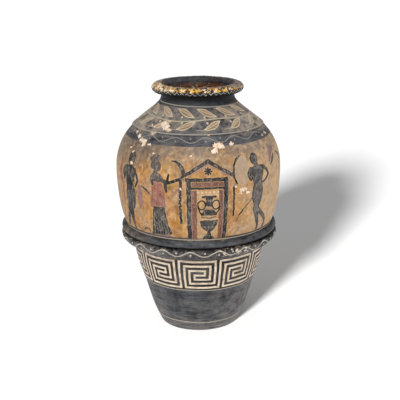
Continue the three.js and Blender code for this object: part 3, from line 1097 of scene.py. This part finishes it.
# %% Lay the lip
ZIGZAGS = 56
zigzag = chain(turn_true, ("ADD", 720.0), ("MODULO", 360.0 / ZIGZAGS), ("SUBTRACT", 180.0 / ZIGZAGS),
               ("ABSOLUTE",), ("MULTIPLY", 8.5), ("ADD", chain(slow_wave, ("MULTIPLY", 30.0))))
zigzag_gap = chain(lip_turn, ("ADD", 25.0), ("SUBTRACT", zigzag), ("ABSOLUTE",))
crust_and_painted_shade = coat(
    "#1b191e",
    (dull, mask((lip_turn, 38.0, 56.0))),
    (gold, mask((lip_turn, 4.0, 12.0), (lip_turn, 72.0, 54.0), (patches, 0.38, 0.44))),
    (left_gold, mask((turn_true, -34.0, -48.0), (lip_turn, -4.0, 14.0), (patches, 0.62, 0.54))),
    (right_crust, mask((turn_true, 44.0, 58.0), (lip_turn, 10.0, 30.0), 0.8)),
    ("#1a171a", mask((lip_turn, 104.0, 118.0), 0.85)),
    ("#d8d1c5", mask((zigzag_gap, 4.9, 1.9), (speckle(9.0, 2.0, offset=71.0), 0.40, 0.46), 0.8)),
    # Painted shade: the underside of the lip is painted near black.
    ("#0b0a0c", mask((lip_turn, -26.0, -38.0))))
crusted_part = chain(mask((chain(turn_true, ("ABSOLUTE",)), 128.0, 88.0)),
                     ("MAXIMUM", mask(between(turn_true, 132.0, 168.0, 6.0), 0.8)))
on_lip_mask = mask((z_place, NECK[1] + 0.6, NECK[1] + 2.2))
lip_colour = coat("#2b2a2d", ("#555356", mask((worn, 0.42, 0.60))), (crust_and_painted_shade, crusted_part))
colour = coat(colour, (lip_colour, on_lip_mask))
print("lip:", len(tree.nodes), "nodes")

# %% [markdown]
# ## The inside and the wear
# Nobody paints the inside, so it shows brown fired clay with lime spots. Outside, the slip has
# rubbed grey where hands and floors touch: at the foot, at the sides and on the mouldings.

# %% Clay inside, and rubbed slip
clay_inside = coat(
    "#6e3c10",
    ("#b2702c", mask((worn, 0.42, 0.60))),
    ("#3a2416", mask((speckle(24.0, 4.0, offset=550.0), 0.46, 0.60), 0.7)),
    ("#e0d2c2", mask((patches, 0.58, 0.62), 0.8)))
below_key = (z_place, 130.0, 122.0)
foot_height = chain(slow_wave, ("MULTIPLY", 30.0), ("ADD", z_place))
rub_side = node("MapRange", (side, 0.1, -0.6, 0.22, 0.75))
colour = coat(
    colour,
    (clay_inside, node("Attribute", out="Fac", attribute_name="inside")),
    ("#918c88", mask(below_key, (side, 0.2, 0.85), (medium, 0.36, 0.62), 0.5)),
    ("#918c88", mask(below_key, (side, -0.5, -0.95), (streaks, 0.40, 0.62), 0.4)),
    ("#8f8984", mask((foot_height, 30.0, 18.0), (streaks, 0.35, 0.65), 0.8)),
    ("#4b4745", mask((z_place, 27.0, 24.0), (speckle(6.0, 5.0, offset=450.0), 0.50, 0.64), 0.6)),
    ("#85807b", mask(between(z_place, 28.0, 48.0, 8.0), (streaks, 0.44, 0.62), 0.5)),
    ("#9c9085", mask(between(z_place, 213.0, 250.0, 2.0),
                     (speckle(8.0, 5.0, offset=390.0), 0.47, 0.62), rub_side)),
    ("#857050", mask(between(z_place, 252.0, 274.0, 2.0), (side, -0.6, -0.95), (medium, 0.46, 0.66))))
print("inside and wear:", len(tree.nodes), "nodes")

# %% [markdown]
# ## Flaked plaster and dust
# Where the paint has flaked off, the white ground shows, with a dark broken edge. Small flakes are
# strewn over the whole body, the shoulder is scuffed, and a little dust lies over all of it.

# %% Flakes, scuffs and dust
plaster_gap = node("Attribute", out="Fac", attribute_name="plaster")
plaster_gap = chain(ragged, ("MULTIPLY", 1.3), ("ADD", plaster_gap))
plaster = mask((plaster_gap, 0.4, -0.4))
plaster_colour = coat(
    "#fbe8d2",
    ("#e3bd9b", mask((speckle(8.0, 4.0, offset=370.0), 0.45, 0.60))),
    ("#a98f78", mask((fine, 0.56, 0.72), 0.6)))
scuffed_side = node("MapRange", (chain(side, ("ABSOLUTE",)), 0.34, 0.9, 0.15, 0.85))
dust = chain(streaks, ("MULTIPLY", 0.35), ("ADD", speckle(45.0, 5.0, offset=150.0)))
colour = coat(
    colour,
    ("#5b4a3c", mask((plaster_gap, 1.6, 0.4), 0.5)),
    (plaster_colour, plaster),
    ("#d8c1a6", mask((speckle(6.0, 5.0, offset=133.0), 0.69, 0.72), (broad, 0.42, 0.55),
                     (z_place, 590.0, 560.0), 0.75)),
    ("#ab9c8a", mask(between(z_place, 512.0, 570.0, 6.0), (shoulder_grain, 0.36, 0.58), scuffed_side)),
    ("#8f8983", mask((dust, 0.60, 0.86), 0.22, (z_place, 592.0, 560.0))))
print("flakes and dust:", len(tree.nodes), "nodes")

# %% [markdown]
# ## Roughness, bump and the shader
# Bare slip is smoothest, ochre is rougher and plaster is chalky. The bump stands for what is too
# small to model: grit, brush marks, paint a tenth of a millimetre thick, and crumbs on the lip.
# The IOR is 1.5, as for most minerals, and the specular level is low, as the surface is matt.

# %% Finish the material
roughness = node("MapRange", (chain(fine, ("MULTIPLY", 0.25), ("ADD", worn)), 0.45, 0.80, 0.42, 0.72))
roughness = chain(roughness, ("MAXIMUM", mask(picture, 0.60)), ("MAXIMUM", mask(plaster, 0.9)))
relief = mask(fine, 0.25)
for part in (mask(medium, 0.5), mask(streaks, 0.35), mask(plaster, -0.9), mask(crumbs, on_lip_mask, 2.2),
             mask(painted("black"), 0.12), mask(key_line, 0.15)):
    relief = chain(relief, ("ADD", part))
bump = node("Bump", {"Height": relief, "Distance": 1.0 * MM, "Strength": 0.8}, out="Normal")
shader = node("BsdfPrincipled", {"Base Color": colour, "Roughness": roughness, "Normal": bump,
                                 "IOR": 1.5, "Specular IOR Level": 0.2})
output = tree.nodes.new("ShaderNodeOutputMaterial")
tree.links.new(shader, output.inputs["Surface"])
jar.data.materials.clear()
jar.data.materials.append(material)
print("material has", len(tree.nodes), "nodes")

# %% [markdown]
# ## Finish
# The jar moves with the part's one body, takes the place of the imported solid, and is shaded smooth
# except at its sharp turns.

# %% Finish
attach(jar, "root")
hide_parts("krater_jar")
deselect_all()
jar.select_set(True)
bpy.context.view_layer.objects.active = jar
bpy.ops.object.shade_smooth_by_angle(angle=math.radians(50.0))
